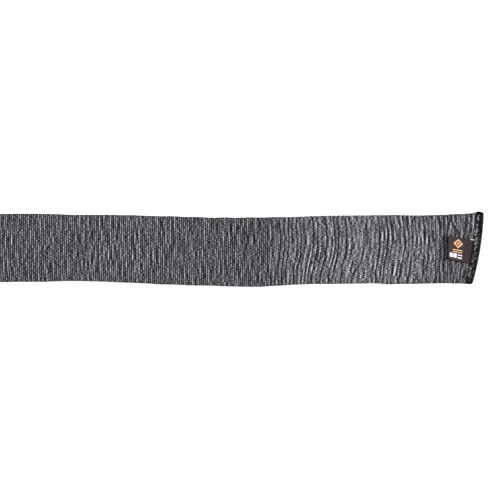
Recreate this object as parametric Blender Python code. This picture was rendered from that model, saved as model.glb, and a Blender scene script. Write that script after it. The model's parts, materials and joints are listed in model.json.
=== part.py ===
"""Knitted storage sleeve for a long slim item, laid flat.

It has a serged toe, a serged mouth and a folded woven label. The sleeve lies along X with its
closed toe at +X and its open mouth at -X. Y runs across its flat width, and Z is up. The origin
is on the surface that the sleeve lies on, under its centre. Everything is in metres.
"""

import bmesh
import bpy
from math import atan2, cos, pi, radians, sin, sqrt
from mathutils import Matrix, Vector

# Driving dimensions of the sleeve
LENGTH = 1.3208  # 52 inches, over the serged ends
BODY_LOFT = 0.0130  # height of the relaxed tube as it lies
MOUTH_LOFT = 0.0150  # the mouth rests a little more open
WALL = 0.0022  # one ply of the knit
TOUCH_GAP = 0.0003  # between pieces that rest on each other

# Serged toe, where both plies are sewn shut
TOE_PLIES = 0.0034  # both plies under the stitches
TOE_HALF_WIDTH = 0.0492
TOE_CENTRE_Y = 0.0016
TOE_SLANT = 0.0078  # how far the edge leans over half the width
TOE_BOW = 0.0028  # how far it bulges over half the width
TOE_CORNER = 0.0042  # radius of the two rounded corners
THREAD_LAYER = 0.0008  # looper threads, as a layer
BAND_WIDTH = 0.0090  # looper threads, from the edge inwards
NEEDLE_WIDTH = 0.0008
NEEDLE_HEIGHT = 0.0006
TOE_FLAT_LENGTH = 0.0145  # pressed flat this far from the edge
TOE_SWELL_LENGTH = 0.100  # full loft this far from the edge

# Serged mouth, where one ply is edged all round
MOUTH_WALL = 0.0016
MOUTH_THREAD_LAYER = 0.0005
MOUTH_BAND_WIDTH = 0.0080
MOUTH_NEEDLE_WIDTH = 0.0006
MOUTH_HALF_WIDTH = 0.0485
MOUTH_PRESSED_LENGTH = 0.0096
MOUTH_RELEASE_LENGTH = 0.0160
MOUTH_SWELL_LENGTH = 0.090

# Folded woven label, caught in the toe seam by its legs
LABEL_CENTRE_Y = -0.0060
LABEL_WIDTH = 0.0340  # along the seam
LABEL_REACH = 0.0334  # from the hinge line to the fold
LABEL_PLY = 0.0006  # the two legs pressed together
LABEL_FOLD = 0.0015  # thickness at the fold, which stays a little open
LABEL_WEDGE_HALF = 0.0001  # beside the hinge line both parts taper to this half thickness
LABEL_WEDGE_LENGTH = 0.0010
LABEL_HINGE_INSET = 0.0129  # hinge line, from the toe edge inwards
LABEL_LEG_INSET = 0.0016  # cut ends of the legs, from the toe edge inwards
LABEL_REST_TILT = radians(7.0)
LABEL_FOLD_SLANT = 0.20  # the fold isn't square to the ribbon, and its upper end reaches further out
MOTIF_LAYER = 0.0004

# The tube's outline as it lies: (x, centre y) and (x, half width), smoothly joined
CENTRE_LINE = (
    (-0.660, 0.0000), (-0.480, -0.0014), (-0.260, 0.0010), (-0.060, 0.0026),
    (0.085, 0.0029), (0.340, -0.0033), (0.435, -0.0001), (0.490, 0.0006),
    (0.545, 0.0003), (0.615, 0.0015), (0.665, TOE_CENTRE_Y),
)
HALF_WIDTHS = (
    (-0.661, MOUTH_HALF_WIDTH), (-0.600, 0.0476), (-0.300, 0.0470), (0.005, 0.0474),
    (0.095, 0.0462), (0.220, 0.0476), (0.265, 0.0474), (0.345, 0.0482), (0.430, 0.0469),
    (0.490, 0.0469), (0.540, 0.0474), (0.580, 0.0472), (0.600, 0.0474),
    (0.642, TOE_HALF_WIDTH), (0.665, TOE_HALF_WIDTH),
)

COLUMNS = 17  # points across each ply
FLAT_SHARE = 0.84  # of the half width, resting on the surface
BODY_SQUARENESS = 3.0
TOE_SQUARENESS = 9.0

HALF_LENGTH = LENGTH / 2
TOE_MID_X = HALF_LENGTH - TOE_SLANT + TOE_BOW
TOE_BASE_Z = THREAD_LAYER + TOUCH_GAP
TOE_TOP_Z = TOE_BASE_Z + TOE_PLIES
TOE_MIDDLE_Z = TOE_BASE_Z + TOE_PLIES / 2
TOE_FABRIC_INSET = THREAD_LAYER + TOUCH_GAP
MOUTH_FABRIC_INSET = MOUTH_THREAD_LAYER + TOUCH_GAP


def smooth(share):
    share = min(max(share, 0.0), 1.0)
    return share * share * (3 - 2 * share)


def between(low, high, share):
    return low + (high - low) * share


def along(points, x):
    """The value at x of a smooth line through points, each (x, value)."""
    for (x0, v0), (x1, v1) in zip(points, points[1:]):
        if x <= x1:
            return between(v0, v1, smooth((x - x0) / (x1 - x0)))
    return points[-1][1]


def toe_line_x(y):
    """Where the toe's edge would lie at y if its corners were square."""
    v = (y - TOE_CENTRE_Y) / TOE_HALF_WIDTH
    return TOE_MID_X + TOE_SLANT * v - TOE_BOW * v * v


def toe_x(y):
    """Where the toe's edge lies at y."""
    past = abs(y - TOE_CENTRE_Y) - (TOE_HALF_WIDTH - TOE_CORNER)
    past = min(max(past, 0.0), TOE_CORNER)
    return toe_line_x(y) - TOE_CORNER + sqrt(TOE_CORNER**2 - past**2)


def toe_slope(y):
    v = (y - TOE_CENTRE_Y) / TOE_HALF_WIDTH
    return (TOE_SLANT - 2 * TOE_BOW * v) / TOE_HALF_WIDTH


def toe_point(y, inset, z):
    """A point at inset from the toe's edge, square to the edge."""
    slope = toe_slope(y)
    length = sqrt(1 + slope * slope)
    return Vector((toe_x(y) - inset / length, y + inset * slope / length, z))


def column_share(k):
    return sin(pi / 2 * (2 * k / (COLUMNS - 1) - 1))


def ring(half_width, centre_y, low, high, squareness, place_x):
    """One loop round the tube: across the lower ply, then back across the upper one.

    place_x gives x from the share of the half width. Points k and 2 * COLUMNS - 1 - k lie above each other.
    """
    height = high - low
    side_low, side_high = 0.40 * height, 0.52 * height
    lower, upper = [], []
    for k in range(COLUMNS):
        g = column_share(k)
        x, y = place_x(g), centre_y + half_width * g
        past_flat = max(abs(g) - FLAT_SHARE, 0.0) / (1 - FLAT_SHARE)
        lower.append(Vector((x, y, low + side_low * (1 - sqrt(max(1 - past_flat**2, 0.0))))))
        crown = sqrt(max(1 - abs(g) ** squareness, 0.0))
        upper.append(Vector((x, y, low + side_high + (height - side_high) * crown)))
    return lower + upper[::-1]


def toe_share(x):
    """0 along the body, 1 where the plies are pressed flat at the toe."""
    swell = TOE_SWELL_LENGTH - TOE_FLAT_LENGTH
    return 1 - smooth((TOE_MID_X - x - TOE_FLAT_LENGTH) / swell)


def tube_ring(x, depth):
    """The tube's loop at x, at depth under its outer surface."""
    from_mouth = x + HALF_LENGTH
    from_toe = TOE_MID_X - x
    release = MOUTH_RELEASE_LENGTH - MOUTH_PRESSED_LENGTH
    press = 1 - smooth((from_mouth - MOUTH_PRESSED_LENGTH) / release)
    at_toe = toe_share(x)
    depth = depth + MOUTH_FABRIC_INSET * press
    lift = TOE_BASE_Z * (1 - smooth((from_toe - TOE_FLAT_LENGTH) / TOE_FLAT_LENGTH))
    loft = between(MOUTH_LOFT, BODY_LOFT, smooth(from_mouth / MOUTH_SWELL_LENGTH))
    high = between(loft, TOE_TOP_Z, at_toe)

    def place_x(g):
        y = TOE_CENTRE_Y + TOE_HALF_WIDTH * g
        return x + at_toe * (toe_x(y) - TOE_MID_X)

    return ring(
        along(HALF_WIDTHS, x) - depth,
        along(CENTRE_LINE, x),
        lift + depth,
        high - depth,
        between(BODY_SQUARENESS, TOE_SQUARENESS, at_toe**2),
        place_x,
    )


def lofted(name, rings):
    """A closed solid through rings whose points pair up across a flat end."""
    mesh = bpy.data.meshes.new(name)
    bm = bmesh.new()
    loops = [[bm.verts.new(point) for point in loop] for loop in rings]
    count = len(loops[0])
    for first, second in zip(loops, loops[1:]):
        for k in range(count):
            n = (k + 1) % count
            bm.faces.new((first[k], first[n], second[n], second[k]))
    for loop, forward in ((loops[0], False), (loops[-1], True)):
        for k in range(count // 2 - 1):
            face = (loop[k], loop[k + 1], loop[count - 2 - k], loop[count - 1 - k])
            bm.faces.new(face if forward else face[::-1])
    return finished(name, mesh, bm)


def swept(name, sections, closed=False):
    """A solid whose outline, the same number of points each time, moves through sections."""
    mesh = bpy.data.meshes.new(name)
    bm = bmesh.new()
    loops = [[bm.verts.new(point) for point in section] for section in sections]
    count = len(loops[0])
    following = loops[1:] + loops[:1] if closed else loops[1:]
    for first, second in zip(loops, following):
        for k in range(count):
            n = (k + 1) % count
            bm.faces.new((first[k], first[n], second[n], second[k]))
    if not closed:
        bm.faces.new(loops[0][::-1])
        bm.faces.new(loops[-1])
    return finished(name, mesh, bm)


def finished(name, mesh, bm):
    bmesh.ops.recalc_face_normals(bm, faces=bm.faces)
    bm.to_mesh(mesh)
    bm.free()
    mesh.shade_smooth()
    mesh.set_sharp_from_angle(angle=radians(40))
    piece = bpy.data.objects.new(name, mesh)
    bpy.context.collection.objects.link(piece)
    return piece


def material(name, colour, roughness):
    made = bpy.data.materials.new(name)
    made.use_nodes = True
    shader = made.node_tree.nodes["Principled BSDF"]
    shader.inputs["Base Color"].default_value = (*colour, 1)
    shader.inputs["Roughness"].default_value = roughness
    shader.inputs["Metallic"].default_value = 0.0
    return made


def make_sleeve():
    """One thin-walled tube: along its lining from the toe, round the mouth, and back along its outside."""
    mouth_x = -HALF_LENGTH + MOUTH_FABRIC_INSET
    toe_end_x = TOE_MID_X - TOE_FABRIC_INSET
    mouth_steps = [mouth_x + step for step in (0, 0.0045, 0.0088, 0.0110, 0.0132, 0.0152, 0.030, 0.055)]
    body_count = 18
    body_start, body_end = -HALF_LENGTH + 0.090, TOE_MID_X - TOE_SWELL_LENGTH
    body_steps = [between(body_start, body_end, i / body_count) for i in range(body_count + 1)]
    swell_insets = (0.085, 0.070, 0.056, 0.044, 0.034, 0.029, 0.0245, 0.0195)
    swell_steps = [TOE_MID_X - inset for inset in swell_insets]
    lining = mouth_steps + body_steps + swell_steps
    outside = lining + [TOE_MID_X - 0.0150, TOE_MID_X - 0.0080, toe_end_x]

    def wall_at(x):
        near_mouth = 1 - smooth((x + HALF_LENGTH - MOUTH_PRESSED_LENGTH) / MOUTH_PRESSED_LENGTH)
        body_wall = between(WALL, MOUTH_WALL, near_mouth)
        return between(body_wall, TOE_PLIES / 2 - TOUCH_GAP, toe_share(x))

    rings = [tube_ring(x, wall_at(x)) for x in reversed(lining)]
    rings += [tube_ring(x, 0.0) for x in outside]
    return lofted("knit_sleeve", rings)


def label_bump(y):
    """How much the toe threads rise to pass over the label's sewn leg."""
    past_side = abs(y - LABEL_CENTRE_Y) - LABEL_WIDTH / 2 - 0.0010
    return (LABEL_PLY + TOUCH_GAP) * (1 - smooth(past_side / 0.0030))


def toe_stations(inset_ends):
    reach = TOE_HALF_WIDTH - inset_ends
    count = 40
    return [TOE_CENTRE_Y + between(-reach, reach, i / count) for i in range(count + 1)]


def make_toe_loopers():
    """The looper threads as layers: one over the upper ply, one under the lower, meeting round the edge."""
    chamfer = 0.0006
    edge_upper, edge_lower = TOE_MIDDLE_Z + TOUCH_GAP / 2, TOE_MIDDLE_Z - TOUCH_GAP / 2
    upper, lower = [], []
    for y in toe_stations(0.0016):
        under = TOE_TOP_Z + TOUCH_GAP + label_bump(y)
        top = under + THREAD_LAYER
        upper.append([
            toe_point(y, inset, z)
            for inset, z in (
                (BAND_WIDTH, under), (BAND_WIDTH, top), (chamfer, top), (0.0, top - chamfer),
                (0.0, edge_upper), (THREAD_LAYER, edge_upper), (THREAD_LAYER, under),
            )
        ])
        lower.append([
            toe_point(y, inset, z)
            for inset, z in (
                (BAND_WIDTH, THREAD_LAYER), (BAND_WIDTH, 0.0), (chamfer, 0.0), (0.0, chamfer),
                (0.0, edge_lower), (THREAD_LAYER, edge_lower), (THREAD_LAYER, THREAD_LAYER),
            )
        ])
    return swept("toe_upper_looper_thread", upper), swept("toe_lower_looper_thread", lower)


def make_toe_needle_thread():
    """The straight line of stitches beside the loopers, on the upper ply."""
    inner = BAND_WIDTH + TOUCH_GAP
    outer = inner + NEEDLE_WIDTH
    sections = []
    for y in toe_stations(0.0020):
        low = TOE_TOP_Z + TOUCH_GAP + label_bump(y)
        high = low + NEEDLE_HEIGHT
        corners = ((inner, low), (outer, low), (outer, high), (inner, high))
        sections.append([toe_point(y, inset, z) for inset, z in corners])
    return swept("toe_needle_thread", sections)


def tuft(name, centre, half_sizes, turn):
    """A short tail of chained thread, lying against the corner of the toe."""
    mesh = bpy.data.meshes.new(name)
    bm = bmesh.new()
    bmesh.ops.create_uvsphere(bm, u_segments=14, v_segments=8, radius=1.0)
    shape = Matrix.Diagonal((*half_sizes, 1.0))
    bmesh.ops.transform(bm, matrix=shape, verts=bm.verts)
    piece = finished(name, mesh, bm)
    piece.location = centre
    piece.rotation_euler = (0.0, 0.0, turn)
    return piece


def make_chain_tails():
    half_height = 0.0013
    upper_side = TOE_CENTRE_Y + TOE_HALF_WIDTH
    lower_side = TOE_CENTRE_Y - TOE_HALF_WIDTH
    upper_half = 0.0012
    lower_half = 0.0010
    upper = tuft(
        "toe_chain_tail_upper",
        (toe_line_x(upper_side) - 0.0086, upper_side + TOUCH_GAP + upper_half, TOE_MIDDLE_Z),
        (0.0048, upper_half, half_height),
        0.0,
    )
    lower = tuft(
        "toe_chain_tail_lower",
        (toe_line_x(lower_side) - 0.0072, lower_side - TOUCH_GAP - lower_half, TOE_MIDDLE_Z),
        (0.0056, lower_half, half_height),
        0.0,
    )
    return upper, lower


def make_mouth_threads():
    """Three thread layers round the mouth: needle line, outer looper and inner looper."""
    band_inset = MOUTH_FABRIC_INSET + MOUTH_WALL
    x_fabric = MOUTH_FABRIC_INSET
    half_gap = TOUCH_GAP / 2
    middle = MOUTH_FABRIC_INSET + MOUTH_WALL / 2

    def outline(corners):
        """Loops round the mouth, one for each corner, given as (distance from the edge, depth)."""
        loops = []
        for distance, depth in corners:
            x = -HALF_LENGTH + distance
            loops.append(
                ring(
                    along(HALF_WIDTHS, x) - depth, along(CENTRE_LINE, x), depth,
                    MOUTH_LOFT - depth, BODY_SQUARENESS, lambda g, x=x: x,
                )
            )
        return [[loop[k] for loop in loops] for k in range(len(loops[0]))]

    layer = MOUTH_THREAD_LAYER
    outer = outline((
        (MOUTH_BAND_WIDTH, 0.0), (MOUTH_BAND_WIDTH, layer), (layer, layer),
        (layer, middle - half_gap), (0.0, middle - half_gap), (0.0, 0.0004), (0.0004, 0.0),
    ))
    lining_face = band_inset + TOUCH_GAP
    inner = outline((
        (MOUTH_BAND_WIDTH, lining_face), (MOUTH_BAND_WIDTH, lining_face + layer),
        (0.0004, lining_face + layer), (0.0, lining_face), (0.0, middle + half_gap),
        (x_fabric - TOUCH_GAP, middle + half_gap), (x_fabric - TOUCH_GAP, lining_face),
    ))
    start = MOUTH_BAND_WIDTH + TOUCH_GAP
    stop = start + MOUTH_NEEDLE_WIDTH
    needle = outline(((start, 0.0), (stop, 0.0), (stop, layer), (start, layer)))
    return (
        swept("mouth_outer_looper_thread", outer, closed=True),
        swept("mouth_inner_looper_thread", inner, closed=True),
        swept("mouth_needle_thread", needle, closed=True),
    )


def label_frame():
    """The middle of the label's hinge line, the way out to its fold, and the way along the hinge line."""
    seam_angle = atan2(toe_slope(LABEL_CENTRE_Y), 1.0)
    origin = toe_point(LABEL_CENTRE_Y, LABEL_HINGE_INSET, TOE_TOP_Z + TOUCH_GAP + LABEL_PLY / 2)
    outward = Vector((-cos(seam_angle), sin(seam_angle), 0.0))
    hinge = Vector((sin(seam_angle), cos(seam_angle), 0.0))
    return origin, outward, hinge


def flap_point(reach, y, z):
    """A point on the flap's own axes, drawn out along its reach so that the fold is slanted."""
    return Vector((reach * (1 - LABEL_FOLD_SLANT * y / LABEL_REACH), y, z))


def make_label():
    """The sewn leg, which stays in the seam, and the folded flap, which swings on the hinge line."""
    origin, outward, hinge = label_frame()
    up = Vector((0.0, 0.0, 1.0))
    half = LABEL_WIDTH / 2
    thin = LABEL_PLY / 2
    leg_start, leg_end = -TOUCH_GAP, LABEL_LEG_INSET - LABEL_HINGE_INSET
    lower_leg = [(leg_start, -LABEL_WEDGE_HALF), (-LABEL_WEDGE_LENGTH, -thin), (leg_end, -thin)]
    leg_corners = lower_leg + [(reach, -z) for reach, z in lower_leg[::-1]]
    leg = swept("label_sewn_leg", [
        [origin + outward * reach + hinge * (side * half) + up * z for reach, z in leg_corners]
        for side in (-1, 1)
    ])

    pivot = bpy.data.objects.new("label_hinge_line", None)
    bpy.context.collection.objects.link(pivot)
    tilted = (outward * cos(LABEL_REST_TILT) + up * sin(LABEL_REST_TILT)).normalized()
    face = tilted.cross(-hinge).normalized()
    pivot.matrix_world = Matrix.Translation(origin) @ Matrix((tilted, -hinge, face)).transposed().to_4x4()
    bpy.context.view_layer.update()

    fold_radius = LABEL_FOLD / 2
    fold_centre = LABEL_REACH - fold_radius
    turn_steps = 6
    opening = [(TOUCH_GAP, LABEL_WEDGE_HALF)] + [
        (reach, between(thin, fold_radius, smooth(reach / fold_centre)))
        for reach in (LABEL_WEDGE_LENGTH, 0.25 * fold_centre, 0.50 * fold_centre, 0.75 * fold_centre)
    ]
    fold_angles = [between(-pi / 2, pi / 2, i / turn_steps) for i in range(turn_steps + 1)]
    profile = [(reach, -height) for reach, height in opening]
    profile += [(fold_centre + fold_radius * cos(a), fold_radius * sin(a)) for a in fold_angles]
    profile += opening[::-1]
    flap = swept("label_flap", [[flap_point(x, side * half, z) for x, z in profile] for side in (-1, 1)])
    flap.parent = pivot
    return leg, flap, pivot


def layer_piece(name, corners, low, high):
    """A flat layer with the outline corners, between two heights."""
    return swept(name, [[flap_point(x, y, z) for x, y in corners] for z in (low, high)])


def make_motif(pivot):
    """Plain geometric figures in raised weft, on the face of the flap: a lozenge, a band, and blocks."""
    low = LABEL_FOLD / 2 + TOUCH_GAP
    high = low + MOTIF_LAYER
    # On the flap's own axes Y runs from the label's upper side to its lower one
    lozenge_x, lozenge_y, lozenge_half = 0.0205, -0.0075, 0.0066
    lozenge = [
        (lozenge_x + lozenge_half * cos(pi / 2 * i), lozenge_y + lozenge_half * sin(pi / 2 * i))
        for i in range(4)
    ]
    emblem = layer_piece("label_tan_lozenge_weft", lozenge, low, high)
    band_outline = [(0.0135, 0.0015), (0.0275, 0.0015), (0.0275, 0.0050), (0.0135, 0.0050)]
    band = layer_piece("label_tan_band_weft", band_outline, low, high)
    comb = [
        (0.0130, 0.0068), (0.0305, 0.0068), (0.0305, 0.0132), (0.0130, 0.0132),
        (0.0130, 0.0112), (0.0205, 0.0112), (0.0205, 0.0090), (0.0130, 0.0090),
    ]
    blocks = layer_piece("label_white_comb_weft", comb, low, high)
    for piece in (emblem, band, blocks):
        piece.parent = pivot
    return emblem, band, blocks


def main():
    for old in list(bpy.data.objects):
        bpy.data.objects.remove(old, do_unlink=True)
    knit = material("heather_knit", (0.13, 0.13, 0.14), 0.95)
    thread = material("black_thread", (0.022, 0.024, 0.023), 0.75)
    ribbon = material("brown_ribbon", (0.060, 0.045, 0.045), 0.70)
    tan = material("tan_weft", (0.84, 0.60, 0.36), 0.60)
    white = material("white_weft", (0.88, 0.84, 0.88), 0.60)

    sleeve = make_sleeve()
    toe_upper, toe_lower = make_toe_loopers()
    toe_needle = make_toe_needle_thread()
    tails = make_chain_tails()
    mouth_threads = make_mouth_threads()
    leg, flap, pivot = make_label()
    emblem, band, blocks = make_motif(pivot)
    for pieces, made in (
        ((sleeve,), knit),
        ((toe_upper, toe_lower, toe_needle, *tails, *mouth_threads), thread),
        ((leg, flap), ribbon),
        ((emblem, band), tan),
        ((blocks,), white),
    ):
        for piece in pieces:
            piece.data.materials.append(made)


main()
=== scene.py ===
"""The looks of a knitted storage sleeve: heather knit, serged ends and a folded woven label.

Lengths are in metres, in the CAD's own frame: X runs along the sleeve towards its sewn toe, Y across
its flat width and Z up from the surface that it lies on.
"""

import json
from math import cos, pi, radians, sin, sqrt

import bpy
import numpy as np
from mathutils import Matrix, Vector


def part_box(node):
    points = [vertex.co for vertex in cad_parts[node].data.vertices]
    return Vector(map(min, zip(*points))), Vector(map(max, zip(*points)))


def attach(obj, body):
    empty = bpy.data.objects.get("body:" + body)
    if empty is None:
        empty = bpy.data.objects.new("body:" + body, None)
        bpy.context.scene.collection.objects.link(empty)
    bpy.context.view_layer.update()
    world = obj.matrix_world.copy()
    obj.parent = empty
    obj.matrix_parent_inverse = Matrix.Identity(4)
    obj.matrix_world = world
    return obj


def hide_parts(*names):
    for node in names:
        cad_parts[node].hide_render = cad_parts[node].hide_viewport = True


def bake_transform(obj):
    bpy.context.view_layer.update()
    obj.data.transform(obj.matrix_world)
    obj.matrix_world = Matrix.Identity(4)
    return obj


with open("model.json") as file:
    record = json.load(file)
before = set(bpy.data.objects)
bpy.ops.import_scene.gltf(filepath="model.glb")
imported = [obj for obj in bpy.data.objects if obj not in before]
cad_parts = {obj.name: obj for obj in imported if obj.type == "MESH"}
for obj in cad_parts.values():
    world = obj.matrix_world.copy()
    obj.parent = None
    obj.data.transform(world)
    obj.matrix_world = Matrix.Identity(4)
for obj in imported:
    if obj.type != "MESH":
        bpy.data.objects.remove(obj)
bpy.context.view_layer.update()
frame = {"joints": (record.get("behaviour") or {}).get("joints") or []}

# The outline of the sleeve, which follows the CAD solid's closely
HALF_LENGTH = -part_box("mouth_outer_looper_thread")[0].x
BODY_LOFT = 0.0122
MOUTH_LOFT = 0.0150
MOUTH_FLARE_LENGTH = 0.090
TOE_HALF_WIDTH = 0.0492
TOE_CENTRE_Y = 0.0016
TOE_SLANT = 0.0078
TOE_BOW = 0.0028
TOE_CORNER = 0.0042
TOE_MID_X = HALF_LENGTH - TOE_SLANT + TOE_BOW
TOE_FLAT_LENGTH = 0.0145
TOE_SWELL_LENGTH = 0.100
TOE_BASE_Z = 0.0011
TOE_TOP_Z = 0.0045
TOE_MIDDLE_Z = (TOE_BASE_Z + TOE_TOP_Z) / 2
FABRIC_INSET = 0.0004
SPREAD = 0.0007  # the soft edge reaches a little past the CAD solid
CENTRE_SHIFT = -0.0003
CENTRE_LINE = (  # each (x, y)
    (-0.660, 0.0000), (-0.480, -0.0014), (-0.260, 0.0010), (-0.060, 0.0026),
    (0.070, 0.0028), (0.337, -0.0033), (0.435, 0.0000), (0.490, 0.0010),
    (0.545, 0.0003), (0.615, 0.0011), (0.645, 0.0019), (0.665, 0.0020),
)
HALF_WIDTHS = (  # each (x, half width)
    (-0.661, 0.0485), (-0.600, 0.0476), (-0.300, 0.0470), (0.005, 0.0474),
    (0.095, 0.0462), (0.220, 0.0476), (0.265, 0.0474), (0.345, 0.0482), (0.430, 0.0476),
    (0.490, 0.0475), (0.540, 0.0481), (0.580, 0.0476), (0.600, 0.0477),
    (0.642, 0.0488), (0.665, 0.0488),
)

# The knit
PAIR_PITCH = 0.00575  # two courses of loops, one of them drawn in, along the sleeve
WALE_PITCH = 0.0024  # one loop, round the sleeve
COLUMN_PLACES = (0.0, 0.22, 0.50, 0.78)  # mesh columns in each pair: drawn-in gap, course, gap, course
AROUND = 96
LINING_COLUMNS = 60
RING_HALF_WIDTH, RING_SIDE_Z = 0.0475, 0.0052  # the cross-section that sets the points round the tube
LOWER_DENSITY = 0.55  # how dense those points are on the lower ply, against the upper
WALL = 0.0020
WALL_AT_TOE = 0.0015
LOOP_POINT = 0.26  # how far each loop's V reaches along the sleeve, in courses
CLEFT_SHADE = 0.32  # how much painted shade darkens the knit beside the legs of the Vs
YARN_STEP = 7.31  # how far apart neighbouring courses lie in the noise of their yarns
STREAK_MM, FLECK_MM, GRAIN_MM = 22.0, 1.2, 1.2
PLY_TURN_MM = 2.1  # one turn of the yarn's two plies
GRAIN = 0.9  # how much the fibres show that run across the courses
APART = 0.33  # how far each yarn stands out from the two beside it
MIDDLE_GREY = 0.54  # the place in the yarn's colours that stays as it is where the contrast rises
PLAIN_PIT = 0.98  # how dark the plain gaps are where the knit isn't rippled: painted shade, with the darker inside of the fabric
RIPPLES_START, RIPPLES_GROW = 0.345, 0.045  # x where the knit begins to ripple, and in what length
CALM_START, CALM_GROW = 0.560, 0.040  # and where the ripples grow less again towards the toe
GAP_DEPTH, HARD_DEPTH = 0.00032, 0.00095  # of a gap between courses, and what hard drawing in adds
SWELLS, SMALL_SWELLS = 0.00040, 0.00012  # height of the slack knit's waves
BOW, LEAN = 0.0020, 0.0056  # how far the rippled courses bow, and lean at their foot
TONES = (  # brightness of the knit, each (x, tone)
    (-0.67, 1.60), (0.05, 1.61), (0.16, 1.73), (0.31, 1.62),
    (0.39, 1.28), (0.54, 1.28), (0.61, 1.26), (0.67, 1.16),
)
BAND_SHADE_TONE = 0.45  # painted shade on the knit under the toe's looper threads
TUFT_TONE = 2.6
LINING_TONE, LINING_DRAWN = 0.55, 0.85
DRAWN_WHERE_FLAT = 0.98  # how dark the drawn-in gaps are where the knit isn't rippled: painted shade, with the darker inside of the fabric
DRAWN_IN = (  # gaps that are drawn in hardest, as places along the sleeve
    0.377, 0.386, 0.398, 0.404, 0.436, 0.445, 0.462, 0.508, 0.520, 0.545, 0.573, 0.599, 0.605, 0.610,
)

# The toe seam and the label that it holds
STITCH = 0.0023
THREAD_RADIUS = 0.00048
BACK_SHARE = 0.95  # of a looper thread's radius, on its way back
NEEDLE_RADIUS = 0.00030
MOUTH_THREAD_RADIUS = 0.00036
MOUTH_NEEDLE_RADIUS = 0.00028
MOUTH_BAND = 0.0084  # needle line, from the mouth's edge inwards
MOUTH_WALL = 0.0016  # the knit pressed flat by the serging
BAND_INSET = 0.0094  # where the looper threads end, from the toe's edge inwards
BAND_EDGE = 0.0072  # from here inwards the knit shows more and more between them
TUFTS = 150
TUFT_RADIUS = 0.00029
PLAIT_HALF_WIDTH, PLAIT_HALF_HEIGHT, PLAIT_RADIUS, PLAIT_TURNS = 0.00095, 0.00070, 0.00062, 3.5
LABEL_CENTRE_Y = -0.0060
LABEL_WIDTH = 0.0340
LABEL_PLY = 0.0006
TOUCH_GAP = 0.0003
WARP_PITCH, PICK_PITCH = 0.00028, 0.00055
MIX_COLOUR_A, MIX_COLOUR_B = 6, 7  # sockets of a Mix node that mixes colours


def smooth(share):
    share = np.clip(share, 0.0, 1.0)
    return share * share * (3 - 2 * share)


def rise(x, start, length):
    """From 0 at start to 1 at length past it."""
    return smooth((x - start) / length)


def along(points, x):
    """The values at x of a smooth line through points, each (x, value)."""
    xs = np.array([p[0] for p in points])
    values = np.array([p[1] for p in points])
    k = np.clip(np.searchsorted(xs, x) - 1, 0, len(xs) - 2)
    share = smooth((x - xs[k]) / (xs[k + 1] - xs[k]))
    return values[k] + (values[k + 1] - values[k]) * share


def noise(a, b, seed, wrap_b=0):
    """Smooth noise from -1 to 1 over a and b, which repeats along b after wrap_b cells if that is set."""
    rng = np.random.default_rng(seed)
    a = np.asarray(a, float) - np.min(a)
    b = np.asarray(b, float)
    b = b - np.min(b) if not wrap_b else b
    a, b = np.broadcast_arrays(a, b)
    rows = int(a.max()) + 3
    columns = wrap_b or int(b.max()) + 3
    grid = rng.uniform(-1, 1, (rows, columns))
    ia, ib = np.floor(a).astype(int), np.floor(b).astype(int)
    fa, fb = smooth(a - ia), smooth(b - ib)
    near, far = ib % columns, (ib + 1) % columns
    low = grid[ia, near] * (1 - fb) + grid[ia, far] * fb
    high = grid[ia + 1, near] * (1 - fb) + grid[ia + 1, far] * fb
    return low * (1 - fa) + high * fa


def toe_line_x(y):
    """Where the toe's edge would lie at y if its corners were square."""
    v = (y - TOE_CENTRE_Y) / TOE_HALF_WIDTH
    return TOE_MID_X + TOE_SLANT * v - TOE_BOW * v * v


def toe_x(y):
    """Where the toe's edge lies at y."""
    past = np.clip(np.abs(y - TOE_CENTRE_Y) - (TOE_HALF_WIDTH - TOE_CORNER), 0.0, TOE_CORNER)
    return toe_line_x(y) - TOE_CORNER + np.sqrt(TOE_CORNER**2 - past**2)


def toe_slope(y):
    """How much x changes with y along the toe's edge."""
    v = (y - TOE_CENTRE_Y) / TOE_HALF_WIDTH
    return (TOE_SLANT - 2 * TOE_BOW * v) / TOE_HALF_WIDTH


def toe_point(y, inset, z, edge=toe_x):
    """A point at inset from the toe's edge, square to the edge."""
    slope = toe_slope(y)
    length = sqrt(1 + slope * slope)
    return Vector((edge(y) - inset / length, y + inset * slope / length, z))


def mesh_piece(name, points, faces, made):
    mesh = bpy.data.meshes.new(name)
    mesh.from_pydata([tuple(p) for p in points], [], faces)
    mesh.validate()
    mesh.shade_smooth()
    mesh.materials.append(made)
    piece = bpy.data.objects.new(name, mesh)
    bpy.context.scene.collection.objects.link(piece)
    return piece


# ---------------------------------------------------------------- materials


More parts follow.
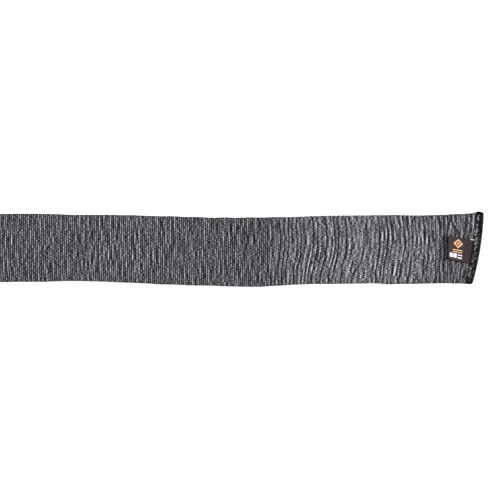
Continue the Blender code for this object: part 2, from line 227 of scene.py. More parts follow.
class Shader:
    """A node material, with short calls for the nodes that it needs."""

    def __init__(self, name):
        self.material = bpy.data.materials.new(name)
        self.material.use_nodes = True
        self.tree = self.material.node_tree
        self.surface = self.tree.nodes["Principled BSDF"]

    def set(self, **values):
        for name, value in values.items():
            self.surface.inputs[name.replace("_", " ")].default_value = value

    def node(self, kind, *inputs, **settings):
        made = self.tree.nodes.new(kind)
        for name, value in settings.items():
            setattr(made, name, value)
        for k, value in enumerate(inputs):
            self.feed(made.inputs[k], value)
        return made

    def feed(self, socket, value):
        if value is None:
            return
        if isinstance(value, bpy.types.NodeSocket):
            self.tree.links.new(value, socket)
        else:
            socket.default_value = value

    def math(self, operation, a, b=None, c=None):
        return self.node("ShaderNodeMath", a, b, c, operation=operation).outputs[0]

    def uv(self, layer):
        parts = self.node("ShaderNodeSeparateXYZ", self.node("ShaderNodeUVMap", uv_map=layer).outputs[0])
        return parts.outputs[0], parts.outputs[1]

    def attribute(self, name):
        return self.node("ShaderNodeAttribute", attribute_name=name).outputs["Fac"]

    def vector(self, x, y, z=0.0):
        return self.node("ShaderNodeCombineXYZ", x, y, z).outputs[0]

    def noise(self, vector, detail=1.0, roughness=0.5):
        made = self.node("ShaderNodeTexNoise")
        self.feed(made.inputs["Vector"], vector)
        made.inputs["Scale"].default_value = 1.0
        made.inputs["Detail"].default_value = detail
        made.inputs["Roughness"].default_value = roughness
        return made.outputs[0]

    def ramp(self, share, stops):
        made = self.node("ShaderNodeValToRGB", share)
        elements = made.color_ramp.elements
        while len(elements) < len(stops):
            elements.new(0.5)
        for element, (place, colour) in zip(elements, stops):
            element.position = place
            element.color = (*colour, 1)
        return made.outputs[0]

    def remap(self, value, low, high, to_low=0.0, to_high=1.0):
        made = self.node("ShaderNodeMapRange", value, low, high, to_low, to_high)
        made.interpolation_type = "SMOOTHSTEP"
        return made.outputs[0]

    def between(self, share, low, high):
        """low where share is 0, and high where it is 1."""
        return self.math("MULTIPLY_ADD", share, high - low, low)

    def inverse(self, share):
        return self.math("SUBTRACT", 1.0, share)

    def ridges(self, place, pitch):
        """Rounded ridges from 0 to 1, one every pitch."""
        return self.math("ABSOLUTE", self.math("SINE", self.math("MULTIPLY", place, pi / pitch)))

    def scale_colour(self, colour, factor):
        factors = self.vector(factor, factor, factor)
        return self.node("ShaderNodeVectorMath", colour, factors, operation="MULTIPLY").outputs[0]

    def bump(self, height, distance, strength=1.0):
        made = self.node("ShaderNodeBump")
        made.inputs["Strength"].default_value = strength
        made.inputs["Distance"].default_value = distance
        self.feed(made.inputs["Height"], height)
        self.tree.links.new(made.outputs[0], self.surface.inputs["Normal"])


def yarn_value(s, courses, swayed, mm):
    """How light the yarn is, about 0.5, and the twist of its plies from -1 to 1."""
    own = s.math("MULTIPLY", s.math("FLOOR", swayed), YARN_STEP)
    off_centre = s.math("SUBTRACT", s.math("FRACT", swayed), 0.5)

    def mottle(yarn):
        streak = s.noise(s.vector(yarn, s.math("DIVIDE", mm, STREAK_MM)))
        fleck = s.noise(s.vector(yarn, s.math("DIVIDE", mm, FLECK_MM), 3.7))
        return s.math("ADD", streak, fleck)

    # Each yarn is a dark ply twisted with a light one, and it stands out from its neighbours
    before, after = s.math("SUBTRACT", own, YARN_STEP), s.math("ADD", own, YARN_STEP)
    beside = s.math("ADD", mottle(before), mottle(after))
    value = s.math("MULTIPLY_ADD", beside, -APART, mottle(own))
    value = s.math("ADD", value, 0.5 - 2 * (0.5 - APART))
    turns = s.math("MULTIPLY_ADD", mm, 1 / PLY_TURN_MM, s.math("MULTIPLY", off_centre, 1.2))
    twist = s.math("SINE", s.math("MULTIPLY", s.math("ADD", turns, own), 2 * pi))
    grain = s.noise(s.vector(s.math("MULTIPLY", courses, 2.3), s.math("DIVIDE", mm, GRAIN_MM)))
    value = s.math("MULTIPLY_ADD", s.math("SUBTRACT", grain, 0.5), GRAIN, value)
    return s.math("MULTIPLY_ADD", twist, 0.10, value), twist


def gap_pits(s, swayed, rippled):
    """How dark the gaps between courses are, as painted shade with the darker inside of the fabric, and
    the strands' height between them.

    Every second gap is drawn in, as hard as the mesh's own attribute says.
    """
    nearest = s.math("ROUND", swayed)
    is_plain = s.math("ABSOLUTE", s.math("MODULO", nearest, 2.0))
    to_gap = s.math("ABSOLUTE", s.math("SUBTRACT", swayed, nearest))
    strand = s.remap(to_gap, 0.14, 0.52)
    wide = s.math("MULTIPLY", s.inverse(strand), s.between(rippled, PLAIN_PIT, 0.15))
    narrow = s.math("MULTIPLY", s.inverse(s.remap(to_gap, 0.0, 0.20)), s.between(rippled, 0.75, 0.50))
    plain = s.math("MULTIPLY", s.math("MAXIMUM", wide, narrow), is_plain)
    drawn = s.inverse(s.remap(to_gap, s.between(rippled, 0.14, 0.04), s.between(rippled, 0.52, 0.70)))
    drawn = s.math("MULTIPLY", drawn, s.attribute("drawn"))
    drawn = s.math("MULTIPLY", drawn, s.inverse(is_plain))
    return s.math("ADD", plain, drawn), strand


def knit_material():
    """A coarse heather knit.

    U counts pairs of courses, from a drawn-in gap, and V is the way round in metres.
    """
    s = Shader("heather_knit")
    u, v = s.uv("knit")
    mm = s.math("MULTIPLY", v, 1000.0)
    courses = s.math("MULTIPLY", u, 2.0)
    rippled = s.attribute("rippled")
    # Each loop is a V: share runs from 0 between its two legs to 1 between it and the next loop
    in_loop = s.math("SUBTRACT", s.math("FRACT", s.math("DIVIDE", mm, WALE_PITCH * 1000)), 0.5)
    share = s.math("MULTIPLY", s.math("ABSOLUTE", in_loop), 2.0)
    leg = s.remap(s.math("ABSOLUTE", s.math("SUBTRACT", share, 0.5)), 0.10, 0.50, 1.0, 0.0)
    sway = s.math("SUBTRACT", s.remap(share, 0.0, 1.0), 0.5)
    swayed = s.math("MULTIPLY_ADD", sway, LOOP_POINT, courses)

    value, twist = yarn_value(s, courses, swayed, mm)
    contrast = s.between(rippled, 1.03, 1.30)
    value = s.math("MULTIPLY_ADD", s.math("SUBTRACT", value, MIDDLE_GREY), contrast, MIDDLE_GREY)
    yarn = s.ramp(value, [
        (0.10, (0.006, 0.006, 0.0065)),
        (0.36, (0.034, 0.034, 0.037)),
        (0.60, (0.150, 0.150, 0.163)),
        (0.90, (0.420, 0.420, 0.450)),
    ])
    pit, strand = gap_pits(s, swayed, rippled)
    # Painted shade in the gaps between courses, partly the darker inside of the fabric, times the tone
    # attribute, which holds painted shade too
    shade = s.math("MULTIPLY", s.between(pit, 1.0, 0.03), s.attribute("tone"))
    # Painted shade in the clefts beside the legs of the Vs
    shade = s.math("MULTIPLY", shade, s.between(leg, 1.0 - CLEFT_SHADE, 1.0))
    s.feed(s.surface.inputs["Base Color"], s.scale_colour(yarn, shade))

    fuzz = s.noise(s.vector(s.math("MULTIPLY", courses, 3.0), s.math("MULTIPLY", mm, 1.4)), 3.0, 0.7)
    height = s.math("MULTIPLY_ADD", twist, 0.12, s.math("MULTIPLY", fuzz, 0.4))
    height = s.math("MULTIPLY_ADD", strand, 0.75, s.math("MULTIPLY_ADD", leg, 0.35, height))
    s.bump(height, 0.0007, 0.75)
    s.set(Roughness=1.0, Specular_IOR_Level=0.0)
    return s.material


def thread_material(name, dark, light):
    """A textured sewing thread: twist along U, which is in metres, with V once round it."""
    s = Shader(name)
    u, v = s.uv("twist")
    turns = s.math("MULTIPLY_ADD", u, 900.0, s.math("MULTIPLY", v, 2.0))
    twist = s.ridges(turns, 1.0)
    fibre = s.noise(s.vector(s.math("MULTIPLY", u, 2600.0), s.math("MULTIPLY", v, 9.0)), 3.0, 0.6)
    value = s.math("MULTIPLY_ADD", twist, 0.55, s.math("MULTIPLY", fibre, 0.45))
    colour = s.ramp(value, [(0.15, dark), (0.85, light)])
    s.feed(s.surface.inputs["Base Color"], colour)
    s.bump(value, 0.00015, 0.8)
    s.set(Roughness=0.85, Specular_IOR_Level=0.02)
    return s.material


def ribbon_material():
    """Satin-woven label ribbon: U runs along the ribbon and V across it, both in metres."""
    s = Shader("brown_ribbon")
    u, v = s.uv("weave")
    warp = s.ridges(v, WARP_PITCH)
    pick = s.ridges(s.math("MULTIPLY_ADD", v, 0.4, u), PICK_PITCH)
    mottle = s.noise(s.vector(s.math("MULTIPLY", u, 420.0), s.math("MULTIPLY", v, 520.0)), 3.0, 0.6)
    value = s.math("MULTIPLY_ADD", pick, 0.25, s.math("MULTIPLY", mottle, 0.5))
    value = s.math("MULTIPLY_ADD", warp, 0.25, value)
    colour = s.ramp(value, [
        (0.20, (0.006, 0.0042, 0.0038)),
        (0.60, (0.022, 0.0155, 0.0140)),
        (0.95, (0.056, 0.042, 0.039)),
    ])
    # A white selvage yarn shows along one edge, beside the seam
    along_edge = s.math("GREATER_THAN", v, LABEL_WIDTH - 0.0009)
    near_seam = s.math("LESS_THAN", s.math("ABSOLUTE", s.math("SUBTRACT", u, SELVAGE_PLACE)), 0.0032)
    float_gap = s.math("GREATER_THAN", s.math("FRACT", s.math("DIVIDE", u, 0.0028)), 0.22)
    selvage = s.math("MULTIPLY", along_edge, s.math("MULTIPLY", near_seam, float_gap))
    mixed = s.node("ShaderNodeMix", data_type="RGBA")
    s.feed(mixed.inputs["Factor"], selvage)
    s.feed(mixed.inputs[MIX_COLOUR_A], colour)
    s.feed(mixed.inputs[MIX_COLOUR_B], (0.72, 0.71, 0.72, 1))
    # Painted shade where the ribbon goes in under the seam's threads, kept off the white selvage
    seam_shade = s.remap(s.math("ABSOLUTE", s.math("SUBTRACT", u, SEAM_SHADE_PLACE)), 0.0010, 0.0018, 0.30, 1.0)
    shade = s.math("MAXIMUM", seam_shade, selvage)
    s.feed(s.surface.inputs["Base Color"], s.scale_colour(mixed.outputs[2], shade))
    s.bump(value, 0.00012, 0.7)
    s.set(Roughness=0.7, Specular_IOR_Level=0.10)
    return s.material


def weft_material(name, dark, light):
    """Glossy weft yarn floating over the label's face."""
    s = Shader(name)
    u, v = s.uv("twist")
    fibre = s.noise(s.vector(s.math("MULTIPLY", u, 900.0), s.math("MULTIPLY", v, 6.0)), 2.0, 0.6)
    s.feed(s.surface.inputs["Base Color"], s.ramp(fibre, [(0.25, dark), (0.70, light)]))
    s.bump(fibre, 0.0001, 0.5)
    s.set(Roughness=0.45, Specular_IOR_Level=0.4)
    return s.material


# ---------------------------------------------------------------- threads


def tube_part(path, radius, sides=7, flatten=1.0):
    """Points, faces and (along, round) coordinates of one thread that follows path, with domed ends."""
    path = np.asarray(path, float)
    steps = np.diff(path, axis=0)
    tangents = np.vstack([steps[:1], steps[1:] + steps[:-1], steps[-1:]])
    tangents /= np.linalg.norm(tangents, axis=1)[:, None]
    side = np.cross(tangents, (0.0, 0.0, 1.0))
    weak = np.linalg.norm(side, axis=1) < 0.15
    side[weak] = np.cross(tangents[weak], (0.0, 1.0, 0.0))
    side /= np.linalg.norm(side, axis=1)[:, None]
    for k in range(1, len(side)):
        if side[k] @ side[k - 1] < 0:
            side[k] = -side[k]
    upright = np.cross(side, tangents)
    lengths = np.concatenate([[0.0], np.cumsum(np.linalg.norm(steps, axis=1))])
    radii = np.full(len(path), radius)
    first, last = path[0] - tangents[0] * radius * 0.5, path[-1] + tangents[-1] * radius * 0.5
    radii[0] *= 0.75
    radii[-1] *= 0.75
    angles = np.arange(sides) * 2 * pi / sides
    ring = (
        path[:, None, :]
        + radii[:, None, None] * np.cos(angles)[None, :, None] * side[:, None, :]
        + radii[:, None, None] * flatten * np.sin(angles)[None, :, None] * upright[:, None, :]
    )
    points = np.vstack([ring.reshape(-1, 3), first, last])
    n = len(path)
    faces, uvs = [], []
    for i in range(n - 1):
        for j in range(sides):
            k = (j + 1) % sides
            faces.append((i * sides + j, (i + 1) * sides + j, (i + 1) * sides + k, i * sides + k))
            u0, u1, v0, v1 = lengths[i], lengths[i + 1], j / sides, (j + 1) / sides
            uvs += [(u0, v0), (u1, v0), (u1, v1), (u0, v1)]
    for j in range(sides):
        k = (j + 1) % sides
        faces.append((n * sides, j, k))
        faces.append((n * sides + 1, (n - 1) * sides + k, (n - 1) * sides + j))
        v0, v1 = j / sides, (j + 1) / sides
        uvs += [(0.0, v0), (0.0, v0), (0.0, v1), (lengths[-1], v0), (lengths[-1], v1), (lengths[-1], v0)]
    return points, faces, uvs


def thread_piece(name, parts, made):
    """One piece from many thread parts."""
    points, faces, uvs, base = [], [], [], 0
    for part_points, part_faces, part_uvs in parts:
        points.append(part_points)
        faces += [tuple(index + base for index in face) for face in part_faces]
        uvs += part_uvs
        base += len(part_points)
    piece = mesh_piece(name, np.vstack(points), faces, made)
    layer = piece.data.uv_layers.new(name="twist")
    layer.data.foreach_set("uv", np.array(uvs, np.float32).ravel())
    return piece


def serging_piece(node, parts, made, ending="_stitches"):
    piece = thread_piece(node.replace("_thread", "") + ending, parts, made)
    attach(piece, "sleeve")
    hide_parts(node)


def curved(points, count):
    """count points on a smooth curve (Catmull-Rom) through points."""
    points = np.asarray(points, float)
    padded = np.vstack([2 * points[0] - points[1], points, 2 * points[-1] - points[-2]])
    where = np.linspace(0, len(points) - 1, count)
    k = np.clip(where.astype(int), 0, len(points) - 2)
    t = (where - k)[:, None]
    p0, p1, p2, p3 = padded[k], padded[k + 1], padded[k + 2], padded[k + 3]
    square, cube = 2 * p0 - 5 * p1 + 4 * p2 - p3, 3 * p1 - 3 * p2 + p3 - p0
    return 0.5 * (2 * p1 + (p2 - p0) * t + square * t**2 + cube * t**3)


def thread_through(point, places, count, radius):
    """A thread with count points along a curve through places, which point turns into points."""
    return tube_part(curved([point(*place) for place in places], count), radius)


# ---------------------------------------------------------------- sleeve


def ring_shape():
    """Where the points round the tube lie, in equal steps that are wider on the lower ply.

    For each point: share of the half width, is it on the upper ply, share of that ply's height, and
    metres round the tube. The last value is the tube's girth.
    """
    turn = np.linspace(0, pi, 1000, endpoint=False)
    across = np.concatenate([np.cos(turn), -np.cos(turn)])
    upper = np.arange(len(across)) < len(turn)
    height = np.sqrt(np.maximum(1 - np.abs(across) ** np.where(upper, 2.7, 6.0), 0.0))
    y = RING_HALF_WIDTH * across
    z = np.where(upper, RING_SIDE_Z + (BODY_LOFT - RING_SIDE_Z) * height, RING_SIDE_Z * (1 - height))
    step = np.hypot(np.diff(y, append=y[:1]), np.diff(z, append=z[:1]))
    reached = np.concatenate([[0.0], np.cumsum(step * np.where(upper, 1.0, LOWER_DENSITY))])
    where = np.interp(np.arange(AROUND) / AROUND * reached[-1], reached, np.arange(len(reached)))
    first = where.astype(int)
    share = where - first

    def pick(values):
        return values[first] * (1 - share) + values[(first + 1) % len(values)] * share

    way_round = np.interp(where, np.arange(len(reached)), np.concatenate([[0.0], np.cumsum(step)]))
    return pick(across), upper[first], pick(height), way_round, float(step.sum())


ACROSS, IS_UPPER, HEIGHT_SHARE, WAY_ROUND, GIRTH = ring_shape()
KNIT_START, KNIT_END = -HALF_LENGTH + 0.0008, TOE_MID_X - FABRIC_INSET
PAIRS = int((KNIT_END - KNIT_START) / PAIR_PITCH)


def at_toe(from_toe):
    """From 0 in the body to 1 in the flat end of the toe."""
    return 1 - rise(from_toe, TOE_FLAT_LENGTH, TOE_SWELL_LENGTH - TOE_FLAT_LENGTH)


def tube_surface(x, depth):
    """Points of the tube at each x, at depth under its outer surface, as an (x, round) grid."""
    x = np.asarray(x, float)[:, None]
    from_mouth, from_toe = x + HALF_LENGTH, TOE_MID_X - x
    closing = at_toe(from_toe)
    pressed = 1 - rise(from_mouth, 0.0096, 0.0064)
    depth = depth + 0.0008 * pressed
    base = TOE_BASE_Z * (1 - rise(from_toe, TOE_FLAT_LENGTH, TOE_FLAT_LENGTH)) + depth
    loft = MOUTH_LOFT + (BODY_LOFT - MOUTH_LOFT) * smooth(from_mouth / MOUTH_FLARE_LENGTH)
    top = loft + (TOE_TOP_Z - loft) * closing - depth
    side = base + (top - base) * 0.43
    half_width = along(HALF_WIDTHS, x) + SPREAD - depth
    y = along(CENTRE_LINE, x) + CENTRE_SHIFT + half_width * ACROSS
    crown = HEIGHT_SHARE ** (1 - 0.75 * closing**2)
    z = np.where(IS_UPPER, side + (top - side) * crown, side - (side - base) * HEIGHT_SHARE)
    shear = smooth(1 - from_toe / 0.055)
    x_here = x + shear * (toe_x(y) - TOE_MID_X)
    return np.stack([x_here, y, z], axis=-1)


def surface_normals(grid):
    """Outward normals of an (x, round) grid."""
    down = np.gradient(grid, axis=0)
    round_next, round_last = np.roll(grid, -1, axis=1), np.roll(grid, 1, axis=1)
    normals = np.cross(down, round_next - round_last)
    normals /= np.maximum(np.linalg.norm(normals, axis=-1, keepdims=True), 1e-12)
    faces_up = normals[len(grid) // 2, AROUND // 4, 2] > 0
    return normals if faces_up else -normals


def round_noise(places, cell, seed):
    """Noise over places along the tube, and over cells that fit round it a whole number of times."""
    count = max(1, round(GIRTH / cell))
    return noise(places, WAY_ROUND / GIRTH * count, seed, count)


def knit_x(course):
    """x of a place that is counted in pairs of courses."""
    return KNIT_START + (KNIT_END - KNIT_START) * course / PAIRS


def hardest_gaps():
    """1 for each gap that is drawn in hardest, and 0 for every other one."""
    hardest = np.zeros(PAIRS + 1)
    for place in DRAWN_IN:
        hardest[np.argmin(np.abs(knit_x(np.arange(PAIRS + 1)) - place))] = 1.0
    return hardest


def drawn_share(course, hardest, rippled):
    """How hard the gap nearest to each point is drawn in, from 0 to 1."""
    rng = np.random.default_rng(10)
    gap = np.round(course)
    usual = rng.uniform(0.0, 1.0, PAIRS + 1) ** 1.6
    base = np.maximum(0.50 + usual * 0.36, hardest * 1.20)[gap.astype(int)]
    drawn = base + 0.30 * round_noise(gap, 0.060, 11) + 0.10
    drawn = np.maximum(drawn, 0.9 * hardest[gap.astype(int)])
    return DRAWN_WHERE_FLAT + (np.clip(drawn, 0.0, 1.0) - DRAWN_WHERE_FLAT) * rippled


def shape_knit(course, xs, drawn, rippled):
    """The outer surface with its drawn-in gaps, slack waves and bowed courses."""
    outer = tube_surface(xs[:, 0], 0.0)
    ends = rise(xs, KNIT_START, 0.016) * smooth((TOE_MID_X - 0.013 - xs) / 0.020)
    in_pair = course - np.floor(course)
    is_gap, is_plain_gap = in_pair < 0.01, np.abs(in_pair - 0.5) < 0.01
    uneven = round_noise(np.arange(len(course))[:, None], 0.007, 12)
    drawn_depth = GAP_DEPTH + HARD_DEPTH * drawn * rippled
    plain_depth = (GAP_DEPTH + 0.00010 * uneven) * (1 - 0.8 * rippled)
    relief = np.where(is_gap, -drawn_depth, np.where(is_plain_gap, -plain_depth, 0.00014 * uneven))
    broad = SWELLS * round_noise(xs / 0.060, 0.060, 14)
    broad = broad + SMALL_SWELLS * round_noise(xs / 0.016, 0.034, 15)
    outer = outer + surface_normals(outer) * ((relief + broad) * ends)[..., None]

    # Courses wander everywhere, and bow where the knit is rippled
    share_down = (1 - ACROSS) / 2
    lean = LEAN + 0.0032 * noise(xs / 0.030, 0.0, 13)
    bow = BOW * np.sin(pi * np.minimum(share_down / 0.75, 1.0))
    bow = bow - lean * rise(share_down, 0.38, 0.66)
    bow = bow * rippled * (1 - rise(xs, 0.545, 0.055)) * np.where(IS_UPPER, 1.0, 0.3)
    wander = 0.0010 * round_noise(xs / 0.020, 0.045, 16)
    wander = wander + 0.0006 * rippled * round_noise(xs / 0.013, 0.032, 17)
    outer[..., 0] += ends * (bow + wander + 0.0002 * uneven)
    outer[..., 1] += 0.0004 * ends * round_noise(xs / 0.018, 0.110, 18)
    outer[..., 2] = np.maximum(outer[..., 2], 0.0)
    return outer


def knit_tones(course, xs, hardest, outer):
    """How bright the knit is at each point, with painted shade and a painted highlight in it."""
    tone = along(TONES, xs) * (1 + 0.06 * round_noise(xs / 0.060, 0.080, 19))
    busy = rise(xs, 0.545, 0.035)
    tone = tone * (1 + 0.50 * busy * round_noise(np.arange(len(course))[:, None], 0.0052, 20))
    # Painted shade on the folded sides, and painted shade on the toe side of a hard gap with a painted
    # highlight on its other side
    tone = tone * (1 - 0.35 * rise(np.abs(ACROSS), 0.950, 0.045))
    gap = np.round(course)
    past_gap = course - gap
    hard = hardest[gap.astype(int)] * rise(xs, 0.570, 0.020)
    # Painted shade just past a hard gap, then a painted highlight on its mouth side
    tone = tone * (1 - 0.35 * hard * ((past_gap > -0.01) & (past_gap < 0.25)))
    tone = tone * (1 + 0.25 * hard * ((past_gap > -0.25) & (past_gap < -0.01)))
    inset = toe_x(outer[..., 1]) - outer[..., 0]
    # Painted shade on the knit under the toe's looper threads
    return tone + (BAND_SHADE_TONE - tone) * (1 - rise(inset, BAND_EDGE, 0.0020))


def tuft_paths():
    """Short ends of yarn that poke out between the toe's looper threads."""
    rng = np.random.default_rng(41)
    paths = []
    for _ in range(TUFTS):
        y = TOE_CENTRE_Y + rng.uniform(-0.94, 0.94) * TOE_HALF_WIDTH
        low_inset = 0.0026 + 0.0030 * float(rise(y, 0.016, 0.016))
        inset = low_inset + (0.0092 - low_inset) * sqrt(rng.uniform())
        lean = rng.normal(0.0, 0.45)
        half = rng.uniform(0.0008, 0.0024)
        curl = rng.uniform(-0.0008, 0.0008)
        z = TOE_TOP_Z + label_bump(y) + 0.0010
        paths.append([
            toe_point(
                y + half * share * cos(lean),
                inset + half * share * sin(lean) + curl * share * share,
                z - 0.0006 * share * share,
            )
            for share in np.linspace(-1, 1, 7)
        ])
    return paths


def grid_faces(first, rows, inward=False):
    """Quads between the rings of a grid whose first point has the index first."""
    i, j = np.meshgrid(np.arange(rows - 1), np.arange(AROUND), indexing="ij")
    here, beside = first + i * AROUND + j, first + i * AROUND + (j + 1) % AROUND
    corners = [here, here + AROUND, beside + AROUND, beside]
    return np.stack(corners[::-1] if inward else corners, axis=-1).reshape(-1, 4).tolist()


def wrap_uv(mesh, uv):
    """Add the girth to V on the faces that cross from the end of the way round to its start."""
    starts, totals = np.zeros(len(mesh.polygons), int), np.zeros(len(mesh.polygons), int)
    mesh.polygons.foreach_get("loop_start", starts)
    mesh.polygons.foreach_get("loop_total", totals)
    face_of_loop = np.repeat(np.arange(len(starts)), totals)
    low, high = np.full(len(starts), np.inf), np.full(len(starts), -np.inf)
    np.minimum.at(low, face_of_loop, uv[:, 1])
    np.maximum.at(high, face_of_loop, uv[:, 1])
    crosses = (high - low > GIRTH / 2)[face_of_loop] & (uv[:, 1] < GIRTH / 2)
    uv[crosses, 1] += GIRTH


def point_uv(mesh, layer_name, values, wrapped=False):
    """A UV layer from one (u, v) for each point."""
    loops = np.zeros(len(mesh.loops), int)
    mesh.loops.foreach_get("vertex_index", loops)
    uv = np.asarray(values, float)[loops]
    if wrapped:
        wrap_uv(mesh, uv)
    mesh.uv_layers.new(name=layer_name).data.foreach_set("uv", uv.astype(np.float32).ravel())


def sleeve_faces(columns):
    """Faces of the knit and its lining, with the rim between them at the mouth and their toe ends."""
    outer_end = columns * AROUND
    lining_end = outer_end + LINING_COLUMNS * AROUND
    ring = list(range(AROUND))
    faces = grid_faces(0, columns)
    faces += grid_faces(outer_end, LINING_COLUMNS, inward=True)
    faces += [(j, k, outer_end + k, outer_end + j) for j, k in zip(ring, ring[1:] + ring[:1])]
    faces.append(tuple(outer_end - AROUND + j for j in ring))
    faces.append(tuple(lining_end - AROUND + j for j in ring[::-1]))
    return faces


def make_sleeve(made):
    pair, place = np.meshgrid(np.arange(PAIRS), COLUMN_PLACES, indexing="ij")
    course = np.append((pair + place).ravel(), PAIRS)[:, None]
    xs = knit_x(course)
    rippled = rise(xs, RIPPLES_START, RIPPLES_GROW) * (1 - 0.55 * rise(xs, CALM_START, CALM_GROW))
    hardest = hardest_gaps()
    drawn = drawn_share(course, hardest, rippled)
    outer = shape_knit(course, xs, drawn, rippled)
    tone = knit_tones(course, xs, hardest, outer)
    lining_x = np.linspace(KNIT_START, TOE_MID_X - 0.0195, LINING_COLUMNS)
    lining_depth = WALL + (WALL_AT_TOE - WALL) * at_toe(TOE_MID_X - lining_x[:, None])
    lining = tube_surface(lining_x, lining_depth)
    lining_course = (lining_x - KNIT_START) / PAIR_PITCH

    # The points of the knit, then those of its lining, then those of each tuft
    points = [outer.reshape(-1, 3), lining.reshape(-1, 3)]
    u = [np.repeat(course.ravel(), AROUND), np.repeat(lining_course, AROUND)]
    v = [np.tile(WAY_ROUND, len(course)), np.tile(WAY_ROUND, LINING_COLUMNS)]
    faces = sleeve_faces(len(course))
    first = tuft_first = len(points[0]) + len(points[1])
    for n, path in enumerate(tuft_paths()):
        part_points, part_faces, _ = tube_part(path, TUFT_RADIUS, sides=5)
        faces += [tuple(index + first for index in face) for face in part_faces]
        first += len(part_points)
        points.append(part_points)
        u.append(np.full(len(part_points), n % PAIRS + 0.25))
        v.append(part_points[:, 1] + 0.1)

    piece = mesh_piece("sleeve_knit", np.concatenate(points), faces, made)
    for name, of_knit, of_lining, of_tufts in (
        ("tone", tone, LINING_TONE, TUFT_TONE),
        ("drawn", drawn, LINING_DRAWN, 0.0),
        ("rippled", np.broadcast_to(rippled, drawn.shape), 0.0, 0.0),
    ):
        values = np.full(first, of_lining)
        values[:drawn.size] = of_knit.ravel()
        values[tuft_first:] = of_tufts
        layer = piece.data.attributes.new(name, "FLOAT", "POINT")
        layer.data.foreach_set("value", values.astype(np.float32))
    point_uv(piece.data, "knit", np.stack([np.concatenate(u), np.concatenate(v)], axis=-1), wrapped=True)
    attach(piece, "sleeve")
    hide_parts("knit_sleeve")


# ---------------------------------------------------------------- toe seam


def label_bump(y):
    """How much higher the seam lies where it crosses the label."""
    past_side = abs(y - LABEL_CENTRE_Y) - LABEL_WIDTH / 2 - 0.0010
    return (LABEL_PLY + TOUCH_GAP) * float(1 - smooth(past_side / 0.0030))


def upper_stitch(y0, y1, y2, wobble):
    """The upper looper's way over the seam: out to the toe's edge at y1 and back to the needle line."""
    top0, top1, top2 = (TOE_TOP_Z + label_bump(y) for y in (y0, y1, y2))
    r = THREAD_RADIUS
    out = [
        (y0, BAND_INSET + 0.0004, top0 - 0.0002),
        (y0 + 0.0001, BAND_INSET - 0.0006, top0 + r),
        (y0 + 0.35 * (y1 - y0), 0.0062 + wobble[0], (top0 + top1) / 2 + r * 1.3),
        (y0 + 0.70 * (y1 - y0), 0.0030 + wobble[1], (top0 + top1) / 2 + r * 1.2),
        (y1 - 0.0001, 0.0008, top1 + r * 0.9),
        (y1, -0.0001, top1 - 0.0004),
        (y1 + 0.0001, -0.0002, TOE_MIDDLE_Z),
    ]
    back = [
        (y1 + 0.0001, -0.0002, TOE_MIDDLE_Z + 0.0002),
        (y1 + 0.0003, -0.0001, top1 - 0.0002),
        (y1 + 0.30 * (y2 - y1), 0.0014, (top1 + top2) / 2 + r * 1.2),
        (y1 + 0.55 * (y2 - y1), 0.0040 + wobble[2], (top1 + top2) / 2 + r * 2.3),
        (y1 + 0.85 * (y2 - y1), 0.0075 + wobble[3], (top1 + top2) / 2 + r * 2.0),
        (y2 - 0.0001, BAND_INSET - 0.0002, top2 + r * 0.8),
    ]
    return [thread_through(toe_point, out, 20, r), thread_through(toe_point, back, 18, r * BACK_SHARE)]


def lower_stitch(y0, y1, y2, wobble):
    """The lower looper's way under the seam, out to the toe's edge at y1 and back."""
    r = THREAD_RADIUS
    out = [
        (y0, BAND_INSET, TOE_BASE_Z + 0.0001),
        (y0 + 0.35 * (y1 - y0), 0.0060 + wobble[4], TOE_BASE_Z - r),
        (y1 - 0.0002, 0.0014, TOE_BASE_Z - r * 0.8),
        (y1, 0.0000, TOE_BASE_Z + 0.0004),
        (y1, -0.0001, TOE_MIDDLE_Z),
        (y1 + 0.0004, 0.0000, TOE_MIDDLE_Z + 0.0006),
    ]
    back = [
        (y1 + 0.0002, -0.0001, TOE_MIDDLE_Z - 0.0002),
        (y1 + 0.0004, 0.0001, TOE_BASE_Z + 0.0003),
        (y1 + 0.35 * (y2 - y1), 0.0030 + wobble[5], TOE_BASE_Z - r),
        (y2 - 0.0002, BAND_INSET - 0.0004, TOE_BASE_Z - r * 0.6),
    ]
    return [thread_through(toe_point, out, 16, r), thread_through(toe_point, back, 12, r * BACK_SHARE)]


def needle_stitch(y0, y2):
    top0, top2 = TOE_TOP_Z + label_bump(y0), TOE_TOP_Z + label_bump(y2)
    inset = BAND_INSET + 0.0002
    path = [
        (y0 + 0.0001, inset, top0 - 0.0003),
        (y0 + 0.0005, inset, top0 + 0.0003),
        ((y0 + y2) / 2, inset, (top0 + top2) / 2 + 0.00045),
        (y2 - 0.0005, inset, top2 + 0.0003),
        (y2 - 0.0001, inset, top2 - 0.0003),
    ]
    return thread_through(toe_point, path, 12, NEEDLE_RADIUS)


def make_toe_seam(made):
    reach = TOE_HALF_WIDTH - 0.0012
    count = int(2 * reach / STITCH)
    rng = np.random.default_rng(31)
    ys = TOE_CENTRE_Y + np.linspace(-reach, reach, 2 * count + 1)
    upper, lower, needle = [], [], []
    for y0, y1, y2 in zip(ys[::2], ys[1::2], ys[2::2]):
        wobble = rng.uniform(-0.00035, 0.00035, 6)
        upper += upper_stitch(y0, y1, y2, wobble)
        lower += lower_stitch(y0, y1, y2, wobble)
        needle.append(needle_stitch(y0, y2))
    serging_piece("toe_upper_looper_thread", upper, made)
    serging_piece("toe_lower_looper_thread", lower, made)
    serging_piece("toe_needle_thread", needle, made)


